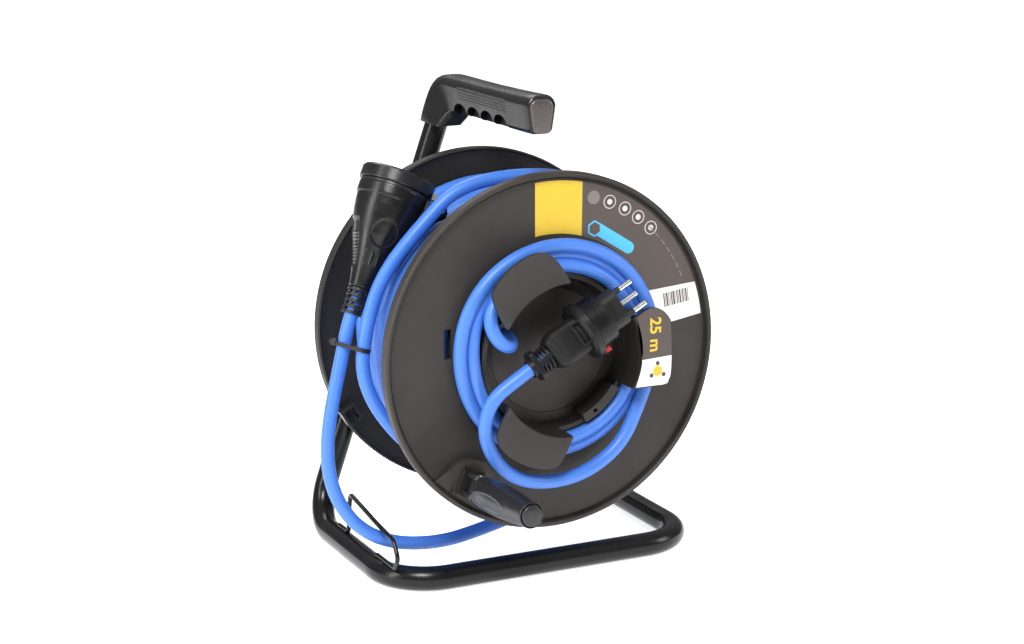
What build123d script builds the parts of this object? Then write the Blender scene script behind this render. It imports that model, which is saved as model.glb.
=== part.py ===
from build123d import *
import os
import math

os.makedirs("parts", exist_ok=True)

# ---------------------------------------------------------------- driving sizes (mm)
YF = -42.7            # y of the front flange rim plane
ZA = 171.4            # height of the drum axis over the floor
FLANGE_R = 133.0      # flange radius
GAP_REAR = 144.5      # rear rim plane behind the front rim plane
BARREL_R = 78.0
CABLE_D = 10.2
CR = CABLE_D / 2
TUBE_D = 18.0
TUBE_WALL = 1.5
BASE_X = 123.2        # half width of the base, to the tube centre line
BASE_Y1 = 8.5         # front bar centre line behind the front rim plane
BASE_Y2 = 179.0       # leg plane behind the front rim plane
LEG_SLOPE = 0.3527    # dx/dz of the handle leg
AXLE_R = 8.0
BUSH_BORE = 8.05
PIN_D = 4.0           # plug pin diameter
PIN_L = 19.0          # plug pin length
PIN_PITCH = 19.0      # between the two outer pins
EARTH_OFF = 5.0       # earth pin off the line of the outer pins
PLUG_TAIL = Vector(-31.5, YF - 24.0, 167.3)
PLUG_AX = Vector(0.8734, 0.0042, 0.4870)
PLUG_Q = Vector(0.4446, -0.4152, -0.7937)
COUP_BASE = Vector(-133.0, YF + 66.0, 199.5)
COUP_AX = Vector(0.4416, 0.1744, 0.8801)
COUP_E1 = Vector(0.8038, -0.5128, -0.3017)
CRANK_X, CRANK_Z = -70.0, 82.0
CRANK_PIVOT_Y = YF - 17.0

NODES = {}


def keep(name, shape, colour=None):
    sol = shape.solids()
    shape = sol[0] if len(sol) == 1 else Compound(children=list(sol))
    NODES[name] = shape
    return shape


def rev(pts, a=360):
    """Solid of revolution about the drum axis, from (r, y) points."""
    f = make_face(Polyline(*pts, close=True))
    return Pos(0, YF, ZA) * revolve(f, Axis.Y, a)


def plate(sk, y1, y2):
    """Sketch (x, z about the drum axis) extruded from y1 to y2."""
    pl = Plane(origin=(0, YF + y2, ZA), x_dir=(1, 0, 0), z_dir=(0, -1, 0))
    return pl * extrude(sk, y2 - y1)


def ycyl(r, y1, y2, x=0.0, z=0.0):
    """Cylinder along Y at (x, z) from the drum axis."""
    return plate(Pos(x, z) * Circle(r), y1, y2)


def polar(r, deg):
    return (r * math.cos(math.radians(deg)), r * math.sin(math.radians(deg)))


def radii_for(pts, k=0.45):
    out = []
    for i in range(1, len(pts) - 1):
        a = pts[i] - pts[i - 1]
        b = pts[i + 1] - pts[i]
        t = math.radians(a.get_angle(b))
        out.append(k * min(a.length, b.length) / math.tan(t / 2))
    return out


def cord(name, pts, r=CR):
    """Cord tube: straight runs joined by tangent arcs."""
    pts = [Vector(*p) if not isinstance(p, Vector) else p for p in pts]
    rad = radii_for(pts)
    runs = [round((pts[i + 1] - pts[i]).length, 1) for i in range(len(pts) - 1)]
    turns = [round((pts[i] - pts[i - 1]).get_angle(pts[i + 1] - pts[i]), 1) for i in range(1, len(pts) - 1)]
    path = FilletPolyline(*pts, radius=rad)
    sec = Plane(origin=path @ 0, z_dir=path % 0) * Circle(r)
    s = sweep(sec, path)
    L = path.length
    print(name, "length", round(L, 1), "radii", [round(q, 1) for q in rad], "runs", runs, "turns", turns,
          "volume ratio", round(s.volume / (math.pi * r * r * L), 4))
    keep(name, s)
    return path


# ---------------------------------------------------------------- frame
def leg_x(z):
    return -BASE_X - 0.2 + LEG_SLOPE * (z - 9.0)


ZT = TUBE_D / 2
TOP_Z = 347.0
frame_pts = [Vector(leg_x(TOP_Z), YF + BASE_Y2, TOP_Z),
             Vector(leg_x(ZT), YF + BASE_Y2, ZT),
             Vector(-BASE_X, YF + BASE_Y1, ZT),
             Vector(BASE_X, YF + BASE_Y1, ZT),
             Vector(BASE_X, YF + BASE_Y2, ZT)]
RJ = Vector(-20.0, YF + BASE_Y2, 283.0)          # right leg meets the handle leg here
d_r = (RJ - frame_pts[-1]).normalized()
frame_pts.append(RJ - d_r * 15.0)
fpath = FilletPolyline(*frame_pts, radius=[34, 40, 40, 34])
fsec = Plane(origin=fpath @ 0, z_dir=fpath % 0) * (Circle(TUBE_D / 2) - Circle(TUBE_D / 2 - TUBE_WALL))
tube = sweep(fsec, fpath)
fsolid = sweep(Plane(origin=fpath @ 0, z_dir=fpath % 0) * Circle(TUBE_D / 2), fpath)
print("frame tube length", round(fpath.length, 1), "volume ratio",
      round(tube.volume / (math.pi * (81 - 56.25) * fpath.length), 4))
tube_frame = keep("tube_frame", tube)

# sleeve that joins the right leg to the handle leg
sl = Plane(origin=RJ - d_r * 44.0, z_dir=d_r) * extrude(Circle(11.0), 44.0)
keep("leg_sleeve", sl - fsolid)

# bracket plate across both legs, which holds the axle
bz = 34.0
lxm = leg_x(ZA)
rx = BASE_X + (RJ.X - BASE_X) * (ZA - 9.0) / (RJ.Z - 9.0)
br = plate(Pos((lxm + rx) / 2, 0) * RectangleRounded(rx - lxm + 22.0, bz, 8.0), 166.0, 171.5)
br = br - fsolid - ycyl(6.05, 160, 175)
keep("axle_bracket", br)

axle = ycyl(AXLE_R, 21.5, 153.0) + ycyl(5.0, 12.5, 21.5) + ycyl(13.0, 153.0, 166.0) + ycyl(6.0, 166.0, 180.0)
keep("axle", axle)
nut = lambda af, y1, y2, bore: plate(RegularPolygon(af / 2, 6, major_radius=False) - Circle(bore), y1, y2)
keep("axle_front_nut", nut(16.0, 13.5, 19.5, 5.0))
keep("axle_front_washer", ycyl(16.0, 19.5, 21.5) - ycyl(5.1, 19, 22))
keep("axle_rear_washer", ycyl(14.0, 151.0, 153.0) - ycyl(8.1, 150, 154))
keep("axle_rear_nut", nut(18.0, 171.5, 178.5, 6.0))

# wire guide over the left floor rail, welded along its top
wr = 1.75
gx = -BASE_X
gpts = [Vector(gx + 1.0, YF + 50.0, 18.9), Vector(gx + 1.0, YF + 15.0, 19.2), Vector(gx, YF + 6.5, 29.5),
        Vector(gx, YF + 15.0, 41.0), Vector(gx, YF + 48.0, 44.5), Vector(gx, YF + 100.0, 52.0),
        Vector(gx, YF + 104.0, 36.0), Vector(gx + 1.0, YF + 108.0, 19.2), Vector(gx + 1.0, YF + 128.0, 18.9)]
gpath = FilletPolyline(*gpts, radius=[4.5, 5.0, 6.0, 40.0, 4.5, 20.0, 4.5])
guide = sweep(Plane(origin=gpath @ 0, z_dir=gpath % 0) * Circle(wr), gpath)
keep("wire_guide", guide - fsolid)

# ---------------------------------------------------------------- handle grip
GX = -5.0             # middle plane of the grip
GW = 23.0
prof = Polyline((150.0, 331.5), (47.0, 330.5), (12.0, 331.5), (10.0, 359.0), (100.0, 358.6), (170.0, 359.0),
                (188.0, 353.0), (193.0, 336.0), (191.5, 321.0), (160.0, 321.0), close=True)
gs = make_face(prof)
gs = fillet(gs.vertices().filter_by_position(Axis.X, 186, 190), 8.0)
gs = fillet(gs.vertices().filter_by_position(Axis.X, 168, 172), 30.0)
gplane = Plane(origin=(GX - GW / 2, YF, 0), x_dir=(0, 1, 0), z_dir=(1, 0, 0))
grip = gplane * extrude(gs, GW)
# rounded long edges along the top and bottom
top_edges = grip.edges().filter_by(lambda e: e.length > 60 and abs((e % 0.5).Y) > 0.9)
try:
    grip = fillet(top_edges, 6.0)
except Exception as ex:
    print("grip fillet skipped", ex)
# socket that follows the leaning leg
legd = Vector(LEG_SLOPE, 0, 1).normalized()
s0 = Vector(leg_x(320.0), YF + 173.0, 320.0)
sock = Plane(origin=s0, x_dir=(1, 0, 0), z_dir=(0, 0, 1)) * RectangleRounded(23.5, 40.0, 10.0)
sock = extrude(sock, dir=legd, amount=30.0)
grip = grip + sock
# hole for the leg
hole0 = Vector(leg_x(300.0), YF + BASE_Y2, 300.0)
hl = Plane(origin=hole0, z_dir=legd) * extrude(Circle(9.05), (TOP_Z - 300.0) / legd.Z + 0.3)
grip = grip - hl
# trim whatever would stand under the socket's flat mouth
grip = grip - Pos(GX - 10, YF + 185, 300) * Box(90, 90, 41)
# hollow underside with four finger bays that open through both sides
ch = Pos(GX, YF + 97.0, 336.0) * Box(14.0, 104.0, 22.0)
grip = grip - ch
for k in range(4):
    yc = 61.5 + 23.6 * k
    bay = Plane(origin=(GX - 15.0, YF + yc, 331.0), x_dir=(0, 1, 0), z_dir=(1, 0, 0)) * extrude(Ellipse(8.6, 9.0), 30.0)
    grip = grip - bay
# recess for the end cap
capf = RectangleRounded(17.5, 22.5, 5.0)
cpl = Plane(origin=(GX, YF + 9.0, 345.3), x_dir=(1, 0, 0), z_dir=(0, 1, 0))
grip = grip - cpl * extrude(capf, 9.0)
# rivet hole through the socket
rv_z = 334.0
rvx = leg_x(rv_z)
riv = Plane(origin=(rvx - 30, YF + BASE_Y2, rv_z), z_dir=(1, 0, 0)) * extrude(Circle(2.5), 60.0)
grip = grip - riv
keep("handle_grip", grip)
keep("handle_end_cap", cpl * extrude(capf, 8.5) + cpl * Pos(0, 0, -1.2) * extrude(RectangleRounded(20.5, 25.5, 6.5), 2.2 if False else 1.2))
tube_cut = riv
NODES["tube_frame"] = (NODES["tube_frame"] - riv).solids()[0]
rb = Plane(origin=(rvx - 12.4, YF + BASE_Y2, rv_z), z_dir=(1, 0, 0)) * extrude(Circle(2.45), 24.8)
keep("handle_rivet", rb)

# ---------------------------------------------------------------- drum
front = rev([(60.0, 4.0), (127.6, 4.0), (128.0, 4.7), (128.7, 4.7), (129.0, 3.6), (129.3, 0.2), (130.4, -0.9), (131.9, -0.7), (133.0, 0.8), (133.0, 8.2),
             (131.6, 9.0), (130.4, 7.6), (126.5, 7.0), (60.0, 7.0)])
# crank pad, a raised wedge between the coil and the rim
pad = make_face(Polyline(polar(128.8, 222.2), polar(107.5, 222.8), polar(101.5, 224.6), polar(96.5, 228.0), polar(94.8, 231.9), polar(96.5, 235.8),
                         polar(101.5, 239.2), polar(107.5, 241.0), polar(128.8, 241.6), close=True))
pad = fillet([v for v in pad.vertices() if v.center().length < 115], 2.0)
padsol = plate(pad, -7.0, 5.0)
# the pad is a wedge: level with the rim at its outer end, 8 mm proud at its inner end
wr_ = Vector(math.cos(math.radians(231.9)), 0, math.sin(math.radians(231.9)))
wn = (Vector(0, -1, 0) * 33.0 + wr_ * 9.0).normalized()
cut_o = Vector(0, YF + 3.4, ZA) + wr_ * 129.0
padsol = padsol - Plane(origin=cut_o, z_dir=wn) * Pos(0, 0, 30.0) * Box(160, 160, 60)
seat_pl = Plane(origin=(CRANK_X, YF - 2.0, CRANK_Z), x_dir=(0.9292, 0, -0.3696), z_dir=(0, -1, 0))
padsol = padsol + seat_pl * Pos(0, 0, -3.5) * Box(20.0, 21.0, 7.0)
padsol = padsol - seat_pl * Pos(0, 0, 8.0) * Box(18.4, 19.4, 16.0)
front = front + padsol
# view slot
slot = make_face(Polyline((-86.0, 3.0), (-80.0, 3.0), (-80.0, 25.0), (-86.0, 25.0), close=True))
front = front - plate(slot, 0, 9)
screw_a = [20, 110, 200, 290]
for a in screw_a:
    x, z = polar(66, a)
    front = front - ycyl(2.1, 0, 9, x, z) - ycyl(3.85, 3.0, 5.5, x, z)

# cable storage hub
hub = rev([(59.7, -3.0), (59.7, 7.0), (72.0, 7.0), (72.0, 22.0), (74.9, 22.0), (74.9, 25.0), (15.0, 25.0), (15.0, 50.0),
           (11.0, 50.0), (11.0, 22.0), (40.0, 22.0), (40.0, 12.0), (47.0, 12.0), (47.0, 9.0), (54.0, 9.0), (56.2, -3.0)])
for a in screw_a:
    x, z = polar(66, a)
    hub = hub - ycyl(1.9, 6, 20, x, z)
ears = {
    "a": [(-51.7, 28.9), (-62.8, 50.4), (-61.3, 57.7), (-54.5, 66.0), (-46.1, 73.5), (-31.8, 80.5), (-21.0, 81.3), (-11.9, 75.4), (-1.4, 58.9)],
    "b": [(-49.4, -29.1), (-59.6, -46.3), (-58.0, -57.1), (-48.4, -67.6), (-32.2, -76.6), (-15.7, -79.6), (-8.3, -76.7), (1.7, -57.2)],
    "c": [(51.0, 26.5), (63.9, 33.3), (73.5, 31.0), (80.3, 23.9), (82.3, 18.5), (82.9, -20.0), (79.6, -27.3), (50.3, -27.0)],
}
def rounded(pts, n=2):
    """Corner-cut copy of an open outline, its ends kept."""
    for _ in range(n):
        out = [pts[0]]
        for a, b in zip(pts, pts[1:]):
            out += [(a[0] * 0.75 + b[0] * 0.25, a[1] * 0.75 + b[1] * 0.25), (a[0] * 0.25 + b[0] * 0.75, a[1] * 0.25 + b[1] * 0.75)]
        pts = out + [pts[-1]]
    return pts


for k, pts in ears.items():
    pts = rounded(pts)
    outer = make_face(Polyline(*pts, (0, 0), close=True))
    ear = outer - Circle(57.2)
    hub = hub + plate(ear, -28.0, -25.2)
    wpts = [(-48.5, 33.5)] + pts[1:] if k == "a" else pts
    wall = (Circle(59.7) - Circle(56.6)) & make_face(Polyline(*wpts, (0, 0), close=True))
    hub = hub + plate(wall, -26.0, -2.0)
# ledge with a screw boss in the bowl's lower right
led = (Circle(57.5) - Circle(50.5)) & make_face(Polyline((0, 0), polar(90, -68), polar(90, -50), polar(90, -32), close=True))
hub = hub + plate(led, -9.0, 10.0)
x, z = polar(54, -57)
hub = hub - ycyl(1.6, -12, 5, x, z)
# hole for the cord, with its grommet
HX, HZ = -37.0, 16.6
hub = hub - ycyl(7.6, -20, 30, HX, HZ)
front_flange = keep("front_flange", front)
cable_hub = keep("cable_hub", hub)
cover = ycyl(46.6, 9.0, 11.5) - ycyl(7.6, 0, 30, HX, HZ)
cover = fillet(cover.edges().filter_by(GeomType.CIRCLE).filter_by(lambda e: abs(e.center().Y - (YF + 9.0)) < 0.01 and e.radius > 40), 0.6) if False else cover
keep("hub_cover", cover)
gro = ycyl(7.6, 9.0, 12.0, HX, HZ) + ycyl(9.0, 4.5, 9.0, HX, HZ) - ycyl(5.25, 0, 20, HX, HZ)
keep("cable_grommet", gro)
keep("front_bush", ycyl(11.0, 22.0, 50.0) - ycyl(BUSH_BORE, 20, 52))

scr = None
for a in screw_a:
    x, z = polar(66, a)
    s = ycyl(1.9, 4.0, 18.0, x, z) + ycyl(3.8, 4.05, 5.5, x, z)
    scr = s if scr is None else scr + s
keep("front_flange_screws", scr)

barrel = ycyl(BARREL_R, 7.0, 137.0) - ycyl(75.0, 0, 150)
for a in (45, 135, 225, 315):
    x, z = polar(70.5, a)
    barrel = barrel + (ycyl(5.0, 117.0, 137.0, x, z) & ycyl(BARREL_R, 100, 140))
    barrel = barrel - ycyl(1.9, 120, 140, x, z)
# slot where the cord passes through the barrel wall
psl = plate(make_face(Polyline(polar(60, 200), polar(95, 200), polar(95, 238), polar(60, 238), close=True)), 20.0, 44.0)
barrel = barrel - psl
keep("barrel", barrel)

rear = rev([(16.0, 118.0), (16.0, 137.0), (126.5, 137.0), (130.4, 136.4), (131.6, 135.0), (133.0, 135.8), (133.0, 143.6),
            (131.4, 145.3), (129.2, 144.9), (127.0, 142.6), (124.0, 140.0), (18.0, 140.0), (16.0, 150.0), (11.0, 150.0), (11.0, 118.0)])
for a in (45, 135, 225, 315):
    x, z = polar(70.5, a)
    rear = rear - ycyl(2.1, 130, 145, x, z)
keep("rear_flange", rear)
keep("rear_bush", ycyl(11.0, 118.0, 150.0) - ycyl(BUSH_BORE, 110, 155))
scr = None
for a in (45, 135, 225, 315):
    x, z = polar(70.5, a)
    s = ycyl(1.9, 122.0, 140.0, x, z) + ycyl(4.0, 140.0, 142.2, x, z)
    scr = s if scr is None else scr + s
keep("rear_flange_screws", scr)

# clip on the edge of the rear flange
ca = 211.5
clip_pl = Plane(origin=(0, YF, ZA), x_dir=(1, 0, 0), z_dir=(0, -1, 0))
cx, cz = polar(130.0, ca)
er = Vector(math.cos(math.radians(ca)), 0, math.sin(math.radians(ca)))
cs = Plane(origin=Vector(0, YF + 137.0, ZA) + er * 127.6, x_dir=er, z_dir=(0, -1, 0))
st = 1.0 if cs.y_dir.dot(Vector(0, 0, -1)) > 0 else -1.0
clip = cs * Pos(0, -6.5 * st, 3.2) * Box(14.0, 2.4, 8.0)
for rr in (-5.4, 5.4):
    clip = clip + cs * Pos(rr, 0, 2.8) * Box(2.2, 13.4, 7.2)
    clip = clip + cs * Pos(rr * 0.86, 6.2 * st, 3.6) * Box(3.0, 2.4, 5.4)
clip = clip - NODES["rear_flange"]
keep("edge_clip", clip)

# cable clamp on the inside of the hub, which takes the pull of the cord
keep("cable_clamp", plate(Pos(-37.0, 16.6) * RectangleRounded(30, 16, 4), 25.0, 33.0) - ycyl(5.15, 20, 40, HX, HZ)
     - ycyl(1.6, 20, 40, -37 + 11, 16.6) - ycyl(1.6, 20, 40, -37 - 11, 16.6))
keep("cable_clamp_screws", ycyl(1.6, 25.0, 33.0, -37 + 11, 16.6) + ycyl(3.2, 33.0, 35.0, -37 + 11, 16.6)
     + ycyl(1.6, 25.0, 33.0, -37 - 11, 16.6) + ycyl(3.2, 33.0, 35.0, -37 - 11, 16.6))

# ---------------------------------------------------------------- crank
HAX = Vector(0.3696, 0, 0.9292)                  # fold pivot axis
HD = Vector(0.9292, 0, -0.3696)                  # the knob folds towards this side
PV = Vector(CRANK_X, CRANK_PIVOT_Y, CRANK_Z)


def cpl_at(y_off):
    return Plane(origin=(CRANK_X, CRANK_PIVOT_Y + y_off, CRANK_Z), x_dir=HD, z_dir=(0, -1, 0))


# local x = HD, local y = z_dir x x_dir
def cbox(x1, x2, h1, h2, y1, y2):
    """Box in crank axes: x along HD, h along the pivot axis, y from the pivot (minus is outwards)."""
    b = Box(x2 - x1, h2 - h1, y2 - y1)
    pl = Plane(origin=PV, x_dir=HD, z_dir=(0, 1, 0))
    s = -1.0  # local y = z_dir x x_dir = (0,1,0)x HD
    ydir = Vector(0, 1, 0).cross(HD)
    sign = 1.0 if ydir.dot(HAX) > 0 else -1.0
    hh = (h1 + h2) / 2 * sign
    return pl * Pos((x1 + x2) / 2, hh, (y1 + y2) / 2) * b


def hcyl(r, h1, h2, dx=0.0, dy=0.0):
    return Plane(origin=PV + HAX * h1 + HD * dx + Vector(0, dy, 0), z_dir=HAX) * extrude(Circle(r), h2 - h1)


base = cbox(-9, 9, -9.5, 9.5, 9.5, 15.0)
for h1, h2 in ((-9.2, -5.3), (5.3, 9.2)):
    base = base + cbox(-6.5, 6.5, h1, h2, 0.0, 10.0) + hcyl(6.5, h1, h2)
base = base - hcyl(2.5, -20, 20)
keep("crank_hinge_base", base)
keep("crank_hinge_pin", hcyl(2.5, -9.7, 9.7))
kn = hcyl(6.0, -4.9, 4.9) + cbox(-6.0, 6.0, -4.9, 4.9, -8.4, 0.0)
kn = kn - hcyl(2.56, -20, 20)
KDIR = Vector(0, -0.99803, 0.0628)                # axis the knob turns on
spin = Plane(origin=PV + KDIR * 7.5, z_dir=KDIR) * extrude(Circle(4.0), 73.6)
kn = kn + spin
keep("crank_knuckle", kn)
KP = Plane(origin=PV + KDIR * 9.26, x_dir=HD, z_dir=KDIR)
kprof = Polyline((4.06, 0), (10.4, 0), (11.6, 8), (12.0, 26), (11.2, 48), (9.6, 66), (8.6, 78), (8.6, 80), (7.0, 80), (7.0, 67),
                 (4.06, 67), close=True)
knob = KP * revolve(Plane.XZ * make_face(kprof), Axis.Z)
keep("crank_knob", knob)
# screw with a head that keeps the knob on the spindle
keep("spindle_washer", KP * Pos(0, 0, 71.9) * extrude(Circle(6.4), 1.6))
keep("crank_knob_cap", KP * Pos(0, 0, 76.0) * extrude(Circle(7.0), 4.0) + KP * Pos(0, 0, 80.0) * extrude(Circle(8.2), 1.0))

# ---------------------------------------------------------------- plug
PP = Plane(origin=PLUG_TAIL, x_dir=PLUG_Q, z_dir=PLUG_AX)


def prev(pts):
    return PP * revolve(Plane.XZ * make_face(Polyline(*pts, close=True)), Axis.Z)


keep("plug_strain_relief", prev([(5.2, 0), (6.8, 0), (7.4, 4), (9.6, 5), (9.6, 8), (8.0, 9), (8.4, 17.8), (0, 17.8), (0, 15.0), (5.2, 15.0)]))
body = PP * Pos(0, 0, 18.0) * extrude(RectangleRounded(28, 24, 7), 27.0)
body = fillet(body.edges().group_by(SortBy.LENGTH)[0], 0.1) if False else body
keep("plug_body", body)
keep("plug_collar", prev([(0, 45.2), (19.5, 45.2), (22.4, 47.5), (22.4, 51.8), (20.5, 53.2), (0, 53.2)]))
keep("plug_skirt", prev([(0, 53.4), (19.4, 53.4), (18.6, 67.0), (0, 67.0)]))
pf = PP * Pos(0, 0, 67.2) * extrude(RectangleRounded(29.5, 23, 9), 13.8)
pins = None
slv = None
WDIR = PLUG_AX.cross(PLUG_Q)
for qx, wy in ((-PIN_PITCH / 2, 0.0), (PIN_PITCH / 2, 0.0), (0.0, EARTH_OFF)):
    pf = pf - PP * Pos(qx, wy, 71.0) * extrude(Circle(1.5), 12.0)
    p = PP * Pos(qx, wy, 71.0) * extrude(Circle(1.5), 10.5) + PP * Pos(qx, wy, 81.0) * extrude(Circle(PIN_D / 2), PIN_L)
    pins = p if pins is None else pins + p
for qx in (-PIN_PITCH / 2, PIN_PITCH / 2):
    s = PP * Pos(qx, 0, 81.1) * extrude(Circle(2.35) - Circle(2.0), 8.0)
    slv = s if slv is None else slv + s
keep("plug_front_insulator", pf)
keep("plug_pins", pins)
keep("plug_pin_sleeves", slv)
keep("plug_indicator", PP * Pos(21.0, 0, 55.6) * Box(3.6, 7.0, 4.4) - NODES["plug_skirt"] - NODES["plug_collar"])

# ---------------------------------------------------------------- coupling
CP = Plane(origin=COUP_BASE, x_dir=COUP_E1, z_dir=COUP_AX)


def crev(pts):
    return CP * revolve(Plane.XZ * make_face(Polyline(*pts, close=True)), Axis.Z)


keep("coupling_strain_relief", crev([(5.15, 0), (6.6, 0), (7.6, 22), (0, 22), (0, 20), (5.15, 20)]))
cb = crev([(0, 22.2), (8.6, 22.2), (11.5, 34), (17.5, 52), (22.5, 70), (25.6, 88), (26.4, 97), (22.0, 97), (22.0, 78), (0, 78)])
cb = cb + (CP * Pos(32.5, 0, 91.5) * Box(18.0, 12.6, 10.4) - CP * extrude(Circle(25.0), 120))
cb = cb - CP * Pos(38.5, 0, 94.5) * Box(12.0, 9.0, 20.0) - CP * Pos(38.0, 0, 93.5) * Rot(90, 0, 0) * Cylinder(1.6, 30)
cb = cb - CP * Pos(33.0, 0, 101.0) * Box(40.0, 30.0, 8.0)
keep("coupling_body", cb)
ci = CP * Pos(0, 0, 78.0) * extrude(Circle(21.9), 16.0)
hexs = make_face(Polyline((-17.5, 0), (-9.5, -8.5), (9.5, -8.5), (17.5, 0), (9.5, 8.5), (-9.5, 8.5), close=True))
ci = ci - CP * Pos(0, 0, 84.0) * extrude(hexs, 20.0)
con = None
for qx, wy in ((-PIN_PITCH / 2, 0.0), (PIN_PITCH / 2, 0.0), (0.0, EARTH_OFF)):
    ci = ci - CP * Pos(qx, wy, 79.0) * extrude(Circle(2.9), 10.0)
    c = CP * Pos(qx, wy, 79.0) * extrude(Circle(2.9) - Circle(2.15), 4.8)
    con = c if con is None else con + c
keep("coupling_insert", ci)
keep("coupling_contacts", con)
keep("coupling_seal", crev([(22.6, 97.0), (26.2, 97.0), (26.2, 98.6), (22.6, 98.6)]))
keep("lid_pin", CP * Pos(38.0, 0, 93.5) * Rot(90, 0, 0) * Cylinder(1.6, 14.0))
keep("lid_spring", CP * Pos(38.0, 0, 93.5) * Rot(90, 0, 0) * (Pos(0, 0, 3.7) * Cylinder(2.5, 1.2) - Cylinder(1.6, 20.0)))
lid = crev([(0, 99.2), (27.6, 99.2), (28.0, 100), (28.0, 108.0), (26.5, 109.6), (0, 110.6)])
arm = CP * Pos(33.0, 0, 101.7) * Box(15.0, 5.0, 5.0) + CP * Pos(38.0, 0, 98.0) * Box(5.2, 5.0, 9.0) + CP * Pos(38.0, 0, 93.5) * Rot(90, 0, 0) * Cylinder(2.6, 5.0)
arm = arm - CP * Pos(38.0, 0, 93.5) * Rot(90, 0, 0) * Cylinder(1.65, 30)
lid = lid + (arm - CP * Pos(0, 0, 90) * extrude(Circle(27.0), 30))
keep("coupling_lid", lid)

# ---------------------------------------------------------------- cord
keep("winding_coil", rev([(78.3, 12.0), (112.0, 12.0), (112.0, 46.0), (104.5, 50.0), (104.5, 134.0), (78.3, 134.0)]))
keep("storage_coil", rev([(60.2, -6.2), (84.5, -6.2), (86.0, -1.0), (84.5, 3.8), (60.2, 3.8)]) - NODES["front_flange"])

# from the winding through the barrel wall and out of the hub, then a tight curl into the groove
def inside(r, deg, y):
    x, z = polar(r, deg)
    return (x, YF + y, ZA + z)


cord("cord_passage", [inside(83.4, 203, 27), inside(73, 227, 35), inside(61, 254, 48), inside(53, 286, 62), inside(50, 321, 74),
                      inside(49, 358, 82), inside(47.5, 34, 84), inside(46, 71, 79), inside(44, 104, 70), inside(42, 129, 60),
                      inside(41, 146, 49), (-37.3, YF + 35.0, ZA + 16.2), (-37.0, YF + 20.0, ZA + 16.6), (-37.0, YF + 7.0, ZA + 16.3)])
cord("cord_curl", [(-37.0, YF + 7.0, ZA + 16.3), (-37.3, YF - 3.0, ZA + 15.4), (-41.0, YF - 11.5, ZA + 13.0), (-49.0, YF - 14.8, ZA + 14.0),
                   (-55.0, YF - 13.2, ZA + 22.0), (-58.0, YF - 9.0, ZA + 32.5), (-58.5, YF - 4.5, ZA + 45.0)])
cord("cord_plug_lead", [(72.6, YF - 9.6, ZA - 26.0), (63.5, YF - 10.2, ZA - 46.5), (48.6, YF - 11.3, ZA - 73.0), (17.5, YF - 13.2, ZA - 90.5),
                        (-16.5, YF - 15.2, ZA - 92.5), (-42.5, YF - 16.8, ZA - 83.5), (-58.8, YF - 18.0, ZA - 65.5), (-65.6, YF - 19.8, ZA - 44.5),
                        (-61.5, YF - 22.0, ZA - 26.3), (-49.5, YF - 23.9, ZA - 14.1), tuple(PLUG_TAIL + PLUG_AX * 14.9)])
cord("cord_free_lead", [tuple(COUP_BASE + COUP_AX * 19.9), tuple(COUP_BASE - COUP_AX * 3.0), (-140.8, YF + 63.3, 175.0), (-147.2, YF + 61.0, 151.0),
                        (-153.3, YF + 59.5, 127.0), (-157.0, YF + 57.5, 104.0), (-156.5, YF + 55.0, 82.0), (-150.5, YF + 51.0, 61.0),
                        (-137.0, YF + 47.5, 42.5), (-117.0, YF + 45.0, 30.5), (-93.0, YF + 45.5, 24.5), (-66.0, YF + 48.0, 22.5),
                        (-38.0, YF + 52.0, 25.5), (-8.0, YF + 56.0, 30.5), (21.0, YF + 60.0, 37.5), (47.0, YF + 61.5, 50.5)])

# cable tie round the free lead beside the winding
tie_c = Vector(-139.3, YF + 63.9, 179.5)
tdir = Vector(-0.28, -0.10, -0.955).normalized()
TP = Plane(origin=tie_c, x_dir=Vector(1, 0, 0), z_dir=tdir)
tie = TP * Pos(0, 0, -2.0) * extrude(RectangleRounded(15.0, 14.0, 6.5) - RectangleRounded(12.2, 11.2, 5.4), 4.0) + TP * Pos(-9.0, 0, 0) * Box(6.0, 5.0, 5.0)
keep("cable_tie", tie)

for n, s in NODES.items():
    export_step(s, "parts/" + n + ".step")
bb = Compound(children=[s for n, s in NODES.items() if not n.startswith(("cord_", "plug_", "coupling_", "lid_", "winding", "storage", "cable_tie"))]).bounding_box()
print("object box", bb.min, bb.max)
bb = Compound(children=list(NODES.values())).bounding_box()
print("whole box", bb.min, bb.max, "nodes", len(NODES))
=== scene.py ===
import math

import bmesh
import bpy
from mathutils import Matrix, Vector
from mathutils.bvhtree import BVHTree


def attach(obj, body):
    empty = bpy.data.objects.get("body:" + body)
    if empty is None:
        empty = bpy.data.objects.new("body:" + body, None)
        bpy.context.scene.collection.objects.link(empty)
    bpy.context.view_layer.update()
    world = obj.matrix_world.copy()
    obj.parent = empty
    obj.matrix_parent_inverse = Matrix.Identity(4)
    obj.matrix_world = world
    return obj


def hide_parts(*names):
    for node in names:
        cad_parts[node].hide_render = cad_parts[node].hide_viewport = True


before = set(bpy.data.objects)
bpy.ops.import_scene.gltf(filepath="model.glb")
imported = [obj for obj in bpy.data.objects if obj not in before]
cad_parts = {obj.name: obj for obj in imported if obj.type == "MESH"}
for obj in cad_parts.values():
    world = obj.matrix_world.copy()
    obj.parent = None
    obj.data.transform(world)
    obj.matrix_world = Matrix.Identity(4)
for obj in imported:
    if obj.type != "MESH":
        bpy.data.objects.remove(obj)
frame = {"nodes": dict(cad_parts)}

S = 0.001
YF, ZA = -42.7, 171.4
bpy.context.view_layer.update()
scene = bpy.context.scene


def V(x, y, z):
    """Point in the row frame, from mm, y absolute."""
    return Vector((x, y, z)) * S


def D(x, y, z):
    """Point about the drum: x and z from its axis, y from the front rim plane."""
    return Vector((x, YF + y, ZA + z)) * S


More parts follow.
